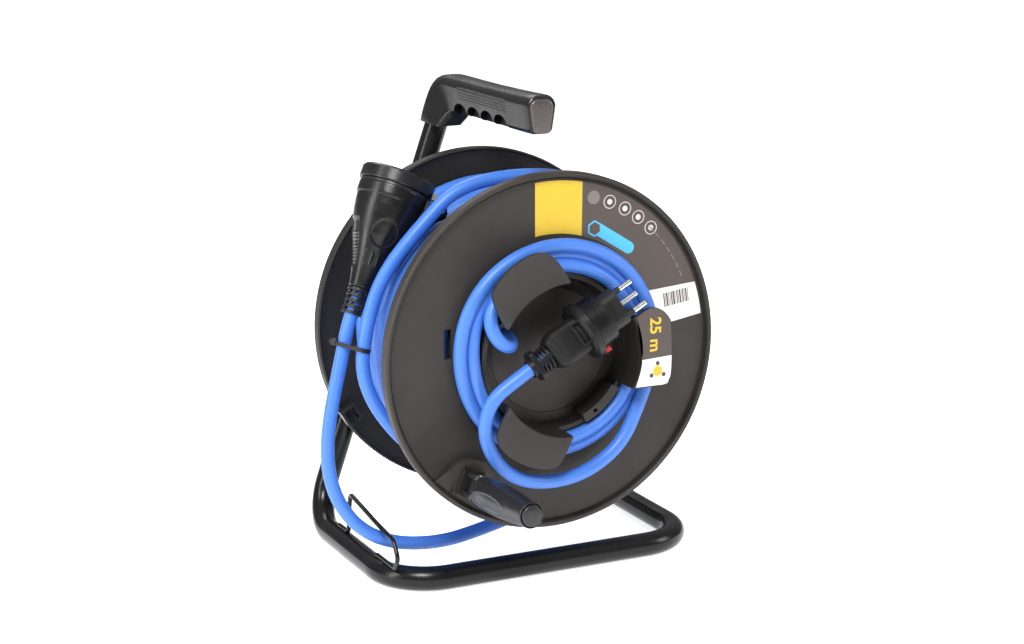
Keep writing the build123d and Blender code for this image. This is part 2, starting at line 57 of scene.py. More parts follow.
# ------------------------------------------------------------------ camera
az, el, roll = math.radians(-25.414), math.radians(13.068), -0.0042
back = Vector((math.sin(az) * math.cos(el), -math.cos(az) * math.cos(el), math.sin(el)))
fwd = -back
right = fwd.cross(Vector((0, 0, 1))).normalized()
up = right.cross(fwd)
r2 = right * math.cos(roll) + up * math.sin(roll)
u2 = up * math.cos(roll) - right * math.sin(roll)
cam_data = bpy.data.cameras.new("camera")
cam_data.lens, cam_data.sensor_width = 75.83, 36.0
cam_data.clip_start, cam_data.clip_end = 0.05, 60.0
cam = bpy.data.objects.new("camera", cam_data)
scene.collection.objects.link(cam)
m = Matrix((r2, u2, -fwd)).transposed().to_4x4()
m.translation = Vector((-0.6842, -1.4107, 0.5493))
cam.matrix_world = m
scene.camera = cam
scene.view_settings.view_transform = "Standard"
scene.view_settings.look = "None"


# ------------------------------------------------------------------ materials
def nodes_of(mat):
    mat.use_nodes = True
    nt = mat.node_tree
    nt.nodes.clear()
    out = nt.nodes.new("ShaderNodeOutputMaterial")
    b = nt.nodes.new("ShaderNodeBsdfPrincipled")
    nt.links.new(b.outputs["BSDF"], out.inputs["Surface"])
    return nt, b


def surface(name, color, rough, var=0.12, grain=1800.0, grain_h=0.00004, wave=90.0, wave_h=0.0001, rough_var=0.08,
            metallic=0.0, spec=0.5, coat=0.0, edge=0.0, dust=0.0):
    """Moulded or painted surface: fine grain, slow waviness, uneven colour and gloss, colour paler on sharp convex
    edges.
    """
    mat = bpy.data.materials.new(name)
    nt, b = nodes_of(mat)
    N, L = nt.nodes.new, nt.links.new
    b.inputs["Metallic"].default_value = metallic
    b.inputs["Specular IOR Level"].default_value = spec
    b.inputs["Coat Weight"].default_value = coat
    b.inputs["Coat Roughness"].default_value = 0.12
    tc = N("ShaderNodeTexCoord")
    n1 = N("ShaderNodeTexNoise"); n1.inputs["Scale"].default_value = 38.0; n1.inputs["Detail"].default_value = 5.0
    n2 = N("ShaderNodeTexNoise"); n2.inputs["Scale"].default_value = grain; n2.inputs["Detail"].default_value = 2.0
    n3 = N("ShaderNodeTexNoise"); n3.inputs["Scale"].default_value = wave; n3.inputs["Detail"].default_value = 2.0
    for n in (n1, n2, n3):
        L(tc.outputs["Object"], n.inputs["Vector"])
    ramp = N("ShaderNodeValToRGB")
    lo = [c * (1 - var) for c in color]
    hi = [min(1, c * (1 + var) + 0.002 * dust) for c in color]
    ramp.color_ramp.elements[0].position, ramp.color_ramp.elements[1].position = 0.3, 0.7
    ramp.color_ramp.elements[0].color = (*lo, 1)
    ramp.color_ramp.elements[1].color = (*hi, 1)
    L(n1.outputs["Fac"], ramp.inputs["Fac"])
    col = ramp.outputs["Color"]
    if edge > 0:
        geo = N("ShaderNodeNewGeometry")
        er = N("ShaderNodeMapRange")
        er.inputs["From Min"].default_value, er.inputs["From Max"].default_value = 0.52, 0.62
        er.inputs["To Min"].default_value, er.inputs["To Max"].default_value = 0.0, edge
        L(geo.outputs["Pointiness"], er.inputs["Value"])
        mx = N("ShaderNodeMix"); mx.data_type = "RGBA"
        mx.inputs["B"].default_value = (*[min(1, c * 2.2 + 0.02) for c in color], 1)
        L(er.outputs["Result"], mx.inputs["Factor"])
        L(col, mx.inputs["A"])
        col = mx.outputs["Result"]
    L(col, b.inputs["Base Color"])
    mr = N("ShaderNodeMapRange")
    mr.inputs["From Min"].default_value, mr.inputs["From Max"].default_value = 0.3, 0.7
    mr.inputs["To Min"].default_value, mr.inputs["To Max"].default_value = max(0.03, rough - rough_var), rough + rough_var
    L(n1.outputs["Fac"], mr.inputs["Value"])
    L(mr.outputs["Result"], b.inputs["Roughness"])
    b1 = N("ShaderNodeBump"); b1.inputs["Distance"].default_value = grain_h; b1.inputs["Strength"].default_value = 1.0
    L(n2.outputs["Fac"], b1.inputs["Height"])
    b2 = N("ShaderNodeBump"); b2.inputs["Distance"].default_value = wave_h; b2.inputs["Strength"].default_value = 0.6
    L(n3.outputs["Fac"], b2.inputs["Height"])
    L(b1.outputs["Normal"], b2.inputs["Normal"])
    L(b2.outputs["Normal"], b.inputs["Normal"])
    mat["bump_tail"] = b2.name
    return mat


M_DRUM = surface("drum_plastic", (0.026, 0.0222, 0.0192), 0.50, grain=1400, grain_h=0.00010, wave=18, wave_h=0.0004, edge=0.3, spec=0.30)
M_HUB = surface("hub_plastic", (0.019, 0.0165, 0.0148), 0.40, grain=1500, grain_h=0.00008, wave=30, wave_h=0.0003, edge=0.3, spec=0.26)
M_EAR = surface("ear_plastic", (0.028, 0.024, 0.021), 0.46, grain=1500, grain_h=0.00008, edge=0.3, spec=0.3)
M_GRIP = surface("grip_plastic", (0.012, 0.011, 0.0106), 0.26, spec=0.40, grain=1100, grain_h=0.00004, wave=60, wave_h=0.00015, edge=0.3)
M_CAP = surface("grip_cap_plastic", (0.060, 0.050, 0.047), 0.30, var=0.2, grain=900, grain_h=0.00004, edge=0.2)
M_COAT = surface("black_powder_coat", (0.0055, 0.0055, 0.006), 0.22, spec=0.27, grain=1000, grain_h=0.00003, wave=240, wave_h=0.00004, rough_var=0.04, edge=0.1)
M_SOFT = surface("soft_black_rubber", (0.0065, 0.0065, 0.007), 0.30, spec=0.36, grain=1300, grain_h=0.00004, wave=70, wave_h=0.00007, edge=0.35)
M_SOFT2 = surface("plug_black", (0.006, 0.006, 0.0064), 0.33, spec=0.22, grain=1500, grain_h=0.00005, edge=0.35)
M_DARK = surface("deep_black", (0.004, 0.004, 0.0045), 0.6, grain=1500)
M_ZINC = surface("zinc_plate", (0.55, 0.55, 0.56), 0.30, metallic=1.0, grain=2500, grain_h=0.00002, wave=200)
M_NICKEL = surface("pin_nickel", (0.72, 0.70, 0.66), 0.18, metallic=1.0, grain=3000, grain_h=0.00001, wave=150, wave_h=0.00005, rough_var=0.05)
M_RED = surface("indicator_red", (0.42, 0.03, 0.03), 0.22, grain=900, coat=0.5)
M_BLUE = surface("cord_blue", (0.050, 0.165, 0.56), 0.40, var=0.05, spec=0.45, grain=1600, grain_h=0.00004, wave=60, wave_h=0.0003, rough_var=0.06)
M_YELLOW = surface("label_yellow", (0.60, 0.40, 0.022), 0.38, var=0.05, grain=2200, grain_h=0.00001)
M_BROWN = surface("label_dark_brown", (0.060, 0.045, 0.038), 0.40, var=0.06, grain=2200, grain_h=0.00001)
M_WHITE = surface("label_white", (0.76, 0.72, 0.70), 0.42, var=0.03, grain=2200, grain_h=0.00001)
M_SKY = surface("label_light_blue", (0.06, 0.42, 0.72), 0.4, var=0.04, grain=2200, grain_h=0.00001)
M_PALE = surface("label_pale_mark", (0.55, 0.52, 0.50), 0.45, var=0.05, grain=2200, grain_h=0.00001)
M_GREY = surface("label_grey_mark", (0.16, 0.14, 0.13), 0.45, var=0.05, grain=2200, grain_h=0.00001)


def spatial_bump(mat, expr_builder, height):
    """Adds a bump laid out in the piece's own coordinates: expr_builder makes a 0..1 mask from the x, y and z sockets (mm)."""
    nt = mat.node_tree
    N, L = nt.nodes.new, nt.links.new
    tc = N("ShaderNodeTexCoord")
    sc = N("ShaderNodeVectorMath"); sc.operation = "SCALE"; sc.inputs["Scale"].default_value = 1000.0
    L(tc.outputs["Object"], sc.inputs[0])
    sep = N("ShaderNodeSeparateXYZ")
    L(sc.outputs[0], sep.inputs[0])

    def op(kind, a, b=None, c=None):
        n = N("ShaderNodeMath"); n.operation = kind
        for i, x in enumerate((a, b, c)):
            if x is None:
                continue
            if hasattr(x, "links"):
                L(x, n.inputs[i])
            else:
                n.inputs[i].default_value = x
        return n.outputs[0]

    h = expr_builder(op, sep.outputs[0], sep.outputs[1], sep.outputs[2])
    bump = N("ShaderNodeBump"); bump.inputs["Distance"].default_value = height; bump.inputs["Strength"].default_value = 1.0
    L(h, bump.inputs["Height"])
    tail = nt.nodes[mat["bump_tail"]]
    bsdf = [n for n in nt.nodes if n.type == "BSDF_PRINCIPLED"][0]
    L(tail.outputs["Normal"], bump.inputs["Normal"])
    L(bump.outputs["Normal"], bsdf.inputs["Normal"])
    return mat


# ------------------------------------------------------------------ mesh helpers
def add(name, me, mat, body, smooth=True, angle=35):
    o = bpy.data.objects.new(name, me)
    scene.collection.objects.link(o)
    me.materials.clear()
    me.materials.append(mat)
    if smooth:
        me.polygons.foreach_set("use_smooth", [True] * len(me.polygons))
        sharp_edges(me, angle)
    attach(o, body)
    return o


def sharp_edges(me, angle):
    bm = bmesh.new(); bm.from_mesh(me)
    lim = math.radians(angle)
    for e in bm.edges:
        if len(e.link_faces) == 2 and e.calc_face_angle(0) > lim:
            e.smooth = False
    bm.to_mesh(me); bm.free()


def raw(name, verts, faces):
    me = bpy.data.meshes.new(name)
    me.from_pydata([tuple(v) for v in verts], [], faces)
    bm = bmesh.new(); bm.from_mesh(me)
    bmesh.ops.remove_doubles(bm, verts=bm.verts, dist=1e-7)
    bmesh.ops.recalc_face_normals(bm, faces=bm.faces)
    bm.to_mesh(me); bm.free()
    return me


def loft(name, rings, closed_ends=True):
    """rings: equal-length closed loops of points."""
    n = len(rings[0])
    verts = [p for r in rings for p in r]
    faces = []
    for i in range(len(rings) - 1):
        for j in range(n):
            k = (j + 1) % n
            faces.append((i * n + j, i * n + k, (i + 1) * n + k, (i + 1) * n + j))
    if closed_ends:
        faces.append(tuple(reversed(range(n))))
        faces.append(tuple((len(rings) - 1) * n + j for j in range(n)))
    return raw(name, verts, faces)


def rrect(w, h, r, n=12):
    """Rounded rectangle, 4 n points."""
    pts = []
    for cx, cy, a0 in ((w / 2 - r, h / 2 - r, 0), (-w / 2 + r, h / 2 - r, 90), (-w / 2 + r, -h / 2 + r, 180), (w / 2 - r, -h / 2 + r, 270)):
        for i in range(n):
            a = math.radians(a0 + 90 * i / (n - 1))
            pts.append((cx + r * math.cos(a), cy + r * math.sin(a)))
    return pts


class Axis:
    """Local axes: p and q across, L along."""

    def __init__(self, o, e1, e2, ax):
        self.o, self.e1, self.e2, self.ax = Vector(o), Vector(e1).normalized(), Vector(e2).normalized(), Vector(ax).normalized()

    def at(self, p, q, l):
        return (self.o + self.e1 * p + self.e2 * q + self.ax * l) * S


def revolve(name, A, prof, n=96, bump=None):
    """Revolved profile of (r, L); bump(angle, L, r) returns the new radius."""
    rings = []
    for r, l in prof:
        ring = []
        for j in range(n):
            a = 2 * math.pi * j / n
            rr = bump(a, l, r) if bump else r
            ring.append(A.at(rr * math.cos(a), rr * math.sin(a), l))
        rings.append(ring)
    return loft(name, rings)


def prism(name, A, poly, l1, l2, bevel=0.0):
    """Polygon (p, q) extruded from l1 to l2, edges bevelled."""
    me = loft(name, [[A.at(p, q, l1) for p, q in poly], [A.at(p, q, l2) for p, q in poly]])
    if bevel > 0:
        bm = bmesh.new(); bm.from_mesh(me)
        es = [e for e in bm.edges if len(e.link_faces) == 2 and e.calc_face_angle(0) > math.radians(40)]
        bmesh.ops.bevel(bm, geom=es, offset=bevel * S, segments=3, profile=0.5, affect="EDGES")
        bm.to_mesh(me); bm.free()
    return me


def join(meshes, name):
    bm = bmesh.new()
    for x in meshes:
        bm.from_mesh(x)
    me = bpy.data.meshes.new(name)
    bm.to_mesh(me); bm.free()
    for x in meshes:
        bpy.data.meshes.remove(x)
    return me


def boolean(me, cutters, name):
    o = bpy.data.objects.new(name + "_tmp", me)
    scene.collection.objects.link(o)
    tmp = []
    for i, c in enumerate(cutters):
        co = bpy.data.objects.new(f"{name}_cut{i}", c)
        scene.collection.objects.link(co)
        md = o.modifiers.new(f"b{i}", "BOOLEAN")
        md.operation, md.solver, md.object = "DIFFERENCE", "EXACT", co
        tmp.append(co)
    bpy.context.view_layer.update()
    dg = bpy.context.evaluated_depsgraph_get()
    out = bpy.data.meshes.new_from_object(o.evaluated_get(dg))
    bpy.data.objects.remove(o)
    for c in tmp:
        bpy.data.objects.remove(c)
    out.name = name
    return out


# ------------------------------------------------------------------ cords
def spline(name, pts, diameter, mat, res=6, bres=7):
    cu = bpy.data.curves.new(name, "CURVE")
    cu.dimensions = "3D"
    cu.resolution_u = res
    cu.bevel_depth = diameter / 2 * S
    cu.bevel_resolution = bres
    cu.use_fill_caps = True
    sp = cu.splines.new("NURBS")
    sp.points.add(len(pts) - 1)
    for i, p in enumerate(pts):
        sp.points[i].co = (p[0], p[1], p[2], 1.0)
    sp.order_u = 3
    sp.use_endpoint_u = True
    cu.materials.append(mat)
    o = bpy.data.objects.new(name, cu)
    scene.collection.objects.link(o)
    return o


def smooth_keys(keys, t):
    """Value of a table of (t, a, b) rows at t, eased between rows."""
    if t <= keys[0][0]:
        return keys[0][1:]
    for k0, k1 in zip(keys, keys[1:]):
        if t <= k1[0]:
            s = (t - k0[0]) / (k1[0] - k0[0])
            s = s * s * (3 - 2 * s)
            return tuple(a + (b - a) * s for a, b in zip(k0[1:], k1[1:]))
    return keys[-1][1:]


def pol(r, deg, y):
    a = math.radians(deg)
    return D(r * math.cos(a), y, r * math.sin(a))


CABLE = 10.2
# outer end: meets the free lead at the bottom, then runs loose round the outside of the winding
lead = [D(47.0, 61.5, 50.5 - ZA)]
lead += [pol(128.6, -60, 60.5), pol(127.2, -44, 59.3), pol(126.0, -27, 58), pol(125.2, -10, 57), pol(124.8, 7, 56), pol(124.6, 24, 55),
         pol(124.6, 41, 53.5), pol(124.8, 58, 51.5), pol(125.2, 75, 48.8)]
lead += [D(-5.4, 46, 125.0), D(-37.9, 46, 122.9), D(-61.9, 46.5, 114.6), D(-78.3, 47.5, 98.4), D(-94.2, 48.5, 82.4), D(-109.6, 50, 63.7),
         D(-120.8, 51, 42.6), D(-128.0, 51.5, 13.4), D(-131.6, 50, -8.6), D(-125.6, 47.5, -32.4), D(-109.2, 45.5, -57.6),
         D(-87.0, 45, -78.6), D(-60.0, 46, -97.0), D(-28.0, 47, -110.5)]
# the turns on the drum: four layers, from the outside in
TURN = 15
K = 1.0 / math.cos(math.pi / TURN) ** 0.75
wind = []
ang0 = math.degrees(math.atan2(-110.5, -28.0)) % 360 + 16
plan = [(3.25, 110.8, 110.8, 46.0, 12.6), (1.15, 110.8, 110.8, 12.6, 131.2), (11.5, 100.6, 100.6, 131.2, 12.6), (11.5, 91.9, 91.9, 12.6, 131.2)]
done = sum(p[0] for p in plan)
target = 203.0 - 12.0
turns_left = 10.0
k = round((ang0 + (done + turns_left) * 360 - target) / 360)
turns_left = (target + 360 * k - ang0) / 360 - done
plan.append((turns_left, 83.3, 83.3, 131.2, 21.5))
a = ang0
prev_r = 112.5
for turns, ra, rb, ya, yb in plan:
    n = int(round(turns * TURN))
    for i in range(n):
        s = i / n
        r = ra + (rb - ra) * s
        ease = min(1.0, i / 5.0)
        r = prev_r + (r - prev_r) * ease
        a_i = a + 360 * turns * s
        wob = 0.35 * math.sin(a_i * 0.031) + 0.25 * math.sin(a_i * 0.0173 + 1.0)
        wind.append(pol((r + wob) * K, a_i, ya + (yb - ya) * s))
    a += 360 * turns
    prev_r = rb
# through the drum wall and up to the hub
passage = [pol(83.4, 203, 24), pol(73, 227, 35), pol(61, 254, 48), pol(53, 286, 62), pol(50, 321, 74), pol(49, 358, 82), pol(47.5, 34, 84), pol(46, 71, 79),
           pol(44, 104, 70), pol(42, 129, 60), pol(41, 146, 49), D(-37.3, 35.0, 16.2), D(-37.0, 20.0, 16.6), D(-37.0, 7.0, 16.3)]
curl = [D(-37.0, -5.0, 14.4), D(-41.6, -14.0, 11.0), D(-51.0, -15.8, 15.4), D(-56.6, -12.6, 25.6), D(-55.4, -8.4, 37.0)]
# two and a half turns in the groove of the hub, clockwise seen from the front
keys = [(0, 67.6, -5.6), (20, 66.4, -5.3), (45, 65.8, -5.0), (180, 65.6, -4.6), (270, 65.8, -4.5), (322, 66.4, -4.0), (345, 70.5, -2.2),
        (368, 74.6, -1.2), (410, 74.0, -1.0), (500, 73.6, -1.0), (600, 73.8, -1.2), (660, 74.8, -2.0), (682, 76.6, -3.0), (705, 80.0, -4.6),
        (730, 81.4, -5.6), (772, 81.0, -6.0), (817, 80.4, -7.0), (842, 78.6, -8.4), (862, 77.4, -9.4), (884, 77.2, -9.9)]
store = []
t = 8.0
while t < 885:
    r, y = smooth_keys(keys, t)
    store.append(pol(r * 1.009, 142.0 - t, y))
    t += 18.0
plug_lead = [D(63.9, -10.2, -46.8), D(49.2, -11.3, -74.0), D(17.7, -13.2, -91.7), D(-16.7, -15.2, -93.7), D(-43.3, -16.8, -84.7), D(-59.8, -18.0, -66.2),
             D(-66.6, -19.8, -44.7), D(-61.9, -22.0, -25.8), D(-49.5, -23.9, -14.1)]
PT, PA = Vector((-31.5, YF - 24.0, 167.3)), Vector((0.8734, 0.0042, 0.4870))
plug_lead.append((PT + PA * 14.9) * S)
main_pts = lead + wind + passage + curl + store + plug_lead
main_cord = spline("cord_on_drum", main_pts, CABLE, M_BLUE, res=5, bres=7)

CB, CA = Vector((-133.0, YF + 66.0, 199.5)), Vector((0.4416, 0.1744, 0.8801))
free = [D(47.0, 61.5, 50.5 - ZA), D(21.0, 60.0, 37.5 - ZA), D(-8.0, 56.0, 30.5 - ZA), D(-38.0, 52.0, 25.5 - ZA), D(-66.0, 48.0, 22.5 - ZA), D(-93.0, 45.5, 24.5 - ZA),
        D(-117.0, 45.0, 30.5 - ZA), D(-137.0, 47.5, 42.5 - ZA), D(-150.5, 51.0, 61.0 - ZA), D(-156.5, 55.0, 82.0 - ZA), D(-157.0, 57.5, 104.0 - ZA),
        D(-153.3, 59.5, 127.0 - ZA), D(-147.2, 61.0, 151.0 - ZA), D(-140.8, 62.3, 175.0 - ZA), (CB - CA * 3.0) * S, (CB + CA * 19.9) * S]
free_cord = spline("cord_free_end", free, CABLE, M_BLUE, res=14, bres=7)


def measured(o):
    """Length of a curve's own line, in metres."""
    cu = o.data
    keep, cu.bevel_depth = cu.bevel_depth, 0.0
    bpy.context.view_layer.update()
    me = bpy.data.meshes.new_from_object(o.evaluated_get(bpy.context.evaluated_depsgraph_get()))
    total = sum((me.vertices[e.vertices[0]].co - me.vertices[e.vertices[1]].co).length for e in me.edges)
    bpy.data.meshes.remove(me)
    cu.bevel_depth = keep
    return total


len_main, len_free = measured(main_cord), measured(free_cord)
print("cord lengths", round(len_main, 3), round(len_free, 3), "together", round(len_main + len_free, 3), "turns", round(done + turns_left, 2))
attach(main_cord, "drum")
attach(free_cord, "frame")
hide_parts("winding_coil", "storage_coil", "cord_passage", "cord_curl", "cord_plug_lead")
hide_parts("cord_free_lead")

# ------------------------------------------------------------------ CAD parts that stay, with their finishes
N = frame["nodes"]


def paint(mat, *names):
    for n in names:
        me = N[n].data
        me.materials.clear()
        me.materials.append(mat)


paint(M_COAT, "tube_frame", "leg_sleeve", "axle_bracket", "wire_guide")
paint(M_ZINC, "axle", "axle_front_nut", "axle_front_washer", "axle_rear_washer", "axle_rear_nut", "handle_rivet", "front_flange_screws",
      "rear_flange_screws", "cable_clamp_screws", "crank_hinge_pin", "spindle_washer", "lid_pin", "lid_spring")
paint(M_NICKEL, "plug_pins", "coupling_contacts")
paint(M_DRUM, "front_flange", "barrel")
# rear flange: a darker, less specular copy of the drum plastic; the lower colour is painted shade for the flange's
# shadowed inner face
M_REAR_PAINTED_SHADE = surface("rear_flange_plastic_painted_shade", (0.014, 0.0125, 0.0115), 0.50, grain=1400, grain_h=0.00010, wave=18, wave_h=0.0004, edge=0.3, spec=0.22)
paint(M_REAR_PAINTED_SHADE, "rear_flange")
paint(M_HUB, "cable_hub", "hub_cover", "front_bush", "rear_bush", "cable_clamp")
paint(M_SOFT, "edge_clip")
paint(M_SOFT, "cable_grommet", "crank_hinge_base", "crank_knuckle", "coupling_seal", "coupling_lid", "coupling_insert")
paint(M_SOFT2, "plug_collar", "plug_skirt", "plug_front_insulator")
paint(M_DARK, "plug_pin_sleeves")
paint(M_RED, "plug_indicator")

# ------------------------------------------------------------------ handle grip
GX = -5.0


def grip_section(wt, wb, h, r=7.5, crown=0.8, n=14):
    """Closed loop (a across, b up) wider at the top, corners rounded, top crowned; b = 0 at the bottom."""
    pts = []
    for cx, cy, a0 in ((wt / 2 - r, h - r, 0), (-wt / 2 + r, h - r, 90), (-wb / 2 + r * 0.6, r * 0.6, 180), (wb / 2 - r * 0.6, r * 0.6, 270)):
        rr = r if a0 < 180 else r * 0.6
        for i in range(n):
            a = math.radians(a0 + 90 * i / (n - 1))
            x, y = cx + rr * math.cos(a), cy + rr * math.sin(a)
            if y > h * 0.5:
                y += crown * max(0.0, 1 - (2 * x / wt) ** 2)
            pts.append((x, y))
    return pts


def leg_x(z):
    return -123.4 + 0.3527 * (z - 9)


rings = []
bar = [(10.0, 20.6, 16.0, 331.6, 358.0), (10.8, 22.4, 17.6, 331.0, 358.6), (12.5, 23.0, 18.4, 330.6, 358.9), (20, 23.0, 18.6, 330.4, 358.9), (34, 22.6, 18.6, 330.4, 358.6), (60, 22.2, 18.4, 330.5, 358.3),
       (90, 22.2, 18.4, 330.6, 358.1), (120, 22.4, 18.8, 330.8, 358.2), (140, 23.0, 19.6, 330.6, 358.4)]
for y, wt, wb, z0, z1 in bar:
    rings.append([D(GX + p, y, z0 + q - ZA) for p, q in grip_section(wt, wb, z1 - z0 - 0.8)])
SHOULDER = [(150.0, 358.4), (157.0, 358.6), (164.5, 358.5), (171.5, 357.6), (177.5, 355.4), (182.0, 351.8), (185.0, 347.0), (187.0, 341.6), (188.8, 336.2), (190.4, 331.0), (191.9, 326.0), (193.3, 321.2)]
# shoulder: the section tips over from upright to level along an arc, while it grows into the socket
for i in range(1, 15):
    s = i / 14
    th = math.radians(90 * s)
    e = s * s * (3 - 2 * s)
    iy, iz = 150.0 + 3.0 * e, 329.5 - 8.3 * e - 1.5 * math.sin(th)
    t_ = s * (len(SHOULDER) - 1)
    k_ = min(int(t_), len(SHOULDER) - 2)
    oy = SHOULDER[k_][0] + (SHOULDER[k_ + 1][0] - SHOULDER[k_][0]) * (t_ - k_)
    oz = SHOULDER[k_][1] + (SHOULDER[k_ + 1][1] - SHOULDER[k_][1]) * (t_ - k_)
    zc = (iz + oz) / 2
    xc = GX + (leg_x(321.0) - GX) * e ** 1.2
    d = Vector((0, oy - iy, oz - iz))
    h = d.length
    d.normalize()
    wt = 23.0 + 0.8 * e
    sec = grip_section(wt, 19.8 + 3.8 * e, h - 0.8 * (1 - e), r=7.5 + 3.0 * e, crown=0.8 * (1 - e))
    rings.append([D(xc + p, iy + d.y * q, iz + d.z * q - ZA) for p, q in sec])
body = loft("grip_body", rings)
cuts = []
for kk in range(4):
    yc = 61.5 + 23.6 * kk
    n = 40
    cuts.append(loft(f"bay{kk}", [[D(GX + x, yc + 11.2 * math.cos(2 * math.pi * j / n), 332.6 + (6.9 if j <= n // 2 else 9.0) * math.sin(2 * math.pi * j / n) - ZA) for j in range(n)]
                                  for x in (-17.0, -4.2)]))
    cuts.append(loft(f"bayb{kk}", [[D(GX + x, yc + 11.2 * math.cos(2 * math.pi * j / n), 332.6 + (6.9 if j <= n // 2 else 9.0) * math.sin(2 * math.pi * j / n) - ZA) for j in range(n)]
                                   for x in (4.2, 17.0)]))
capA = Axis((GX, YF + 10.0, 344.6), (1, 0, 0), (0, 0, 1), (0, 1, 0))
cs = [(p, q - 14.0) for p, q in grip_section(19.4, 14.8, 25.2, r=6.2, crown=0.6)]
cuts.append(loft("capseat", [[capA.at(p, q + 0.3, l) for p, q in cs] for l in (-3.0, 1.4)]))
body = boolean(body, cuts, "grip_body")
bm = bmesh.new(); bm.from_mesh(body)
bmesh.ops.remove_doubles(bm, verts=bm.verts, dist=2e-5)
bmesh.ops.recalc_face_normals(bm, faces=bm.faces)
bm.to_mesh(body); bm.free()


# five raised lines along each side, between the bays and the top
tree = BVHTree.FromPolygons([v.co.copy() for v in body.vertices], [tuple(f.vertices) for f in body.polygons])
rv, rf = [], []
for sx in (-1, 1):
    for k in range(5):
        pts = []
        for i in range(46):
            y = 48.0 + 87.0 * i / 45
            z = 342.9 + 2.1 * k + 0.006 * (y - 48.0)
            hit = tree.ray_cast(D(GX + sx * 30.0, y, z - ZA), Vector((-sx, 0, 0)))
            if hit[0]:
                e = min(1.0, i / 2.0, (45 - i) / 2.0)
                pts.append((hit[0], 0.2 + 0.36 * e))
        for q, (p, rr) in enumerate(pts):
            base = len(rv)
            for w in range(8):
                a = 2 * math.pi * w / 8
                rv.append((p.x - sx * 0.00012 + rr * S * math.cos(a), p.y, p.z + rr * S * 1.15 * math.sin(a)))
            if q:
                rf += [(base - 8 + w, base - 8 + (w + 1) % 8, base + (w + 1) % 8, base + w) for w in range(8)]
        n0 = len(rv) - 8 * len(pts)
        rf.append(tuple(range(n0 + 7, n0 - 1, -1)))
        rf.append(tuple(range(len(rv) - 8, len(rv))))
rib_me = bpy.data.meshes.new("grip_side_lines")
rib_me.from_pydata(rv, [], rf)
bm = bmesh.new(); bm.from_mesh(rib_me)
bmesh.ops.recalc_face_normals(bm, faces=bm.faces)
bm.to_mesh(rib_me); bm.free()
add("grip_side_lines", rib_me, M_GRIP, "frame", angle=60)
M_GRIP2 = surface("grip_plastic_grooved", (0.0100, 0.0094, 0.0092), 0.29, spec=0.30, grain=1100, grain_h=0.00005, wave=60, wave_h=0.00015, edge=0.3)
grip = add("grip_body", body, M_GRIP2, "frame", angle=32)
grip.data.materials.append(surface("grip_bay_shade", (0.0035, 0.0034, 0.0036), 0.5, grain=1100, grain_h=0.00005, spec=0.12))
for f in grip.data.polygons:
    c = grip.matrix_world @ f.center
    fx, fy, fz = abs(c.x / S - GX), c.y / S - YF, c.z / S
    if fz < 341.0 and 48.0 < fy < 146.0 and fx > 3.9:
        yc = 61.5 + 23.6 * min(3, max(0, round((fy - 61.5) / 23.6)))
        e = ((fy - yc) / 11.2) ** 2 + ((fz - 332.6) / (6.9 if fz > 332.6 else 9.0)) ** 2
        if abs(e - 1) < 0.10 and abs(f.normal.x) < 0.3 or abs(fx - 4.2) < 0.06:
            f.material_index = 1
md = grip.modifiers.new("soften", "BEVEL")
md.width, md.segments, md.limit_method, md.angle_limit = 0.00055, 2, "ANGLE", math.radians(38)
md.use_clamp_overlap = True
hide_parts("handle_grip")

capr = [(0.0, -1.1), (0.35, -1.1), (0.7, -1.06), (0.9, -0.8), (0.97, -0.3), (1.0, 0.4), (1.0, 1.2)]
csb = [(p, q - 13.7) for p, q in grip_section(19.0, 14.4, 24.8, r=6.0, crown=0.6)]
cap_rings = []
for f, l in capr[1:]:
    cap_rings.append([capA.at(p * f, q * f, l) for p, q in csb])
cap_me = loft("grip_cap_moulding", cap_rings)


def gate(op, x, y, z):
    dx, dz = op("SUBTRACT", x, GX), op("SUBTRACT", z, 346.5)
    r = op("SQRT", op("ADD", op("MULTIPLY", dx, dx), op("MULTIPLY", dz, dz)))
    ring = op("LESS_THAN", op("ABSOLUTE", op("SUBTRACT", r, 3.4)), 0.45)
    dot = op("LESS_THAN", r, 0.8)
    return op("SUBTRACT", 1.0, op("MAXIMUM", ring, dot))


spatial_bump(M_CAP, gate, 0.00035)
cap = add("grip_cap_moulding", cap_me, M_CAP, "frame")
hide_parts("handle_end_cap")
# small dimple rings on the socket sides, over the rivet
for sx in (-1, 1):
    A = Axis((leg_x(334.0) + sx * 12.0, YF + 179.0, 334.0), (0, 1, 0), (0, 0, 1), (sx, 0, 0))
    me = revolve(f"rivet_rim_{'left' if sx < 0 else 'right'}", A, [(2.6, -0.5), (2.6, 0.35), (3.0, 0.6), (3.8, 0.5), (4.3, 0.0), (4.3, -0.5)], n=40)
    add(me.name, me, M_GRIP, "frame")

# ------------------------------------------------------------------ crank knob
PV = Vector((-70.0, YF - 17.0, 82.0))
HD, HAX = Vector((0.9292, 0, -0.3696)), Vector((0.3696, 0, 0.9292))
KD = Vector((0, -0.99803, 0.0628))
HD2 = (HD - KD * HD.dot(KD)).normalized()
KA = Axis(PV + KD * 9.26, HD2, KD.cross(HD2), KD)
prof = []
base_prof = [(4.3, 0.0), (8.8, 0.0), (10.2, 0.7), (10.9, 2.0), (11.6, 8.0), (12.0, 17.0), (12.1, 26.0), (11.8, 38.0), (11.1, 50.0), (10.3, 61.0), (9.6, 70.0), (9.3, 76.0), (9.2, 78.6), (9.0, 79.2), (8.7, 79.5), (8.4, 79.3), (8.3, 78.8), (8.25, 75.0), (7.2, 75.0)]
for (ra, la), (rb, lb) in zip(base_prof, base_prof[1:]):
    n = max(1, int(abs(lb - la) / 0.9))
    for i in range(n):
        prof.append((ra + (rb - ra) * i / n, la + (lb - la) * i / n))
prof.append(base_prof[-1])


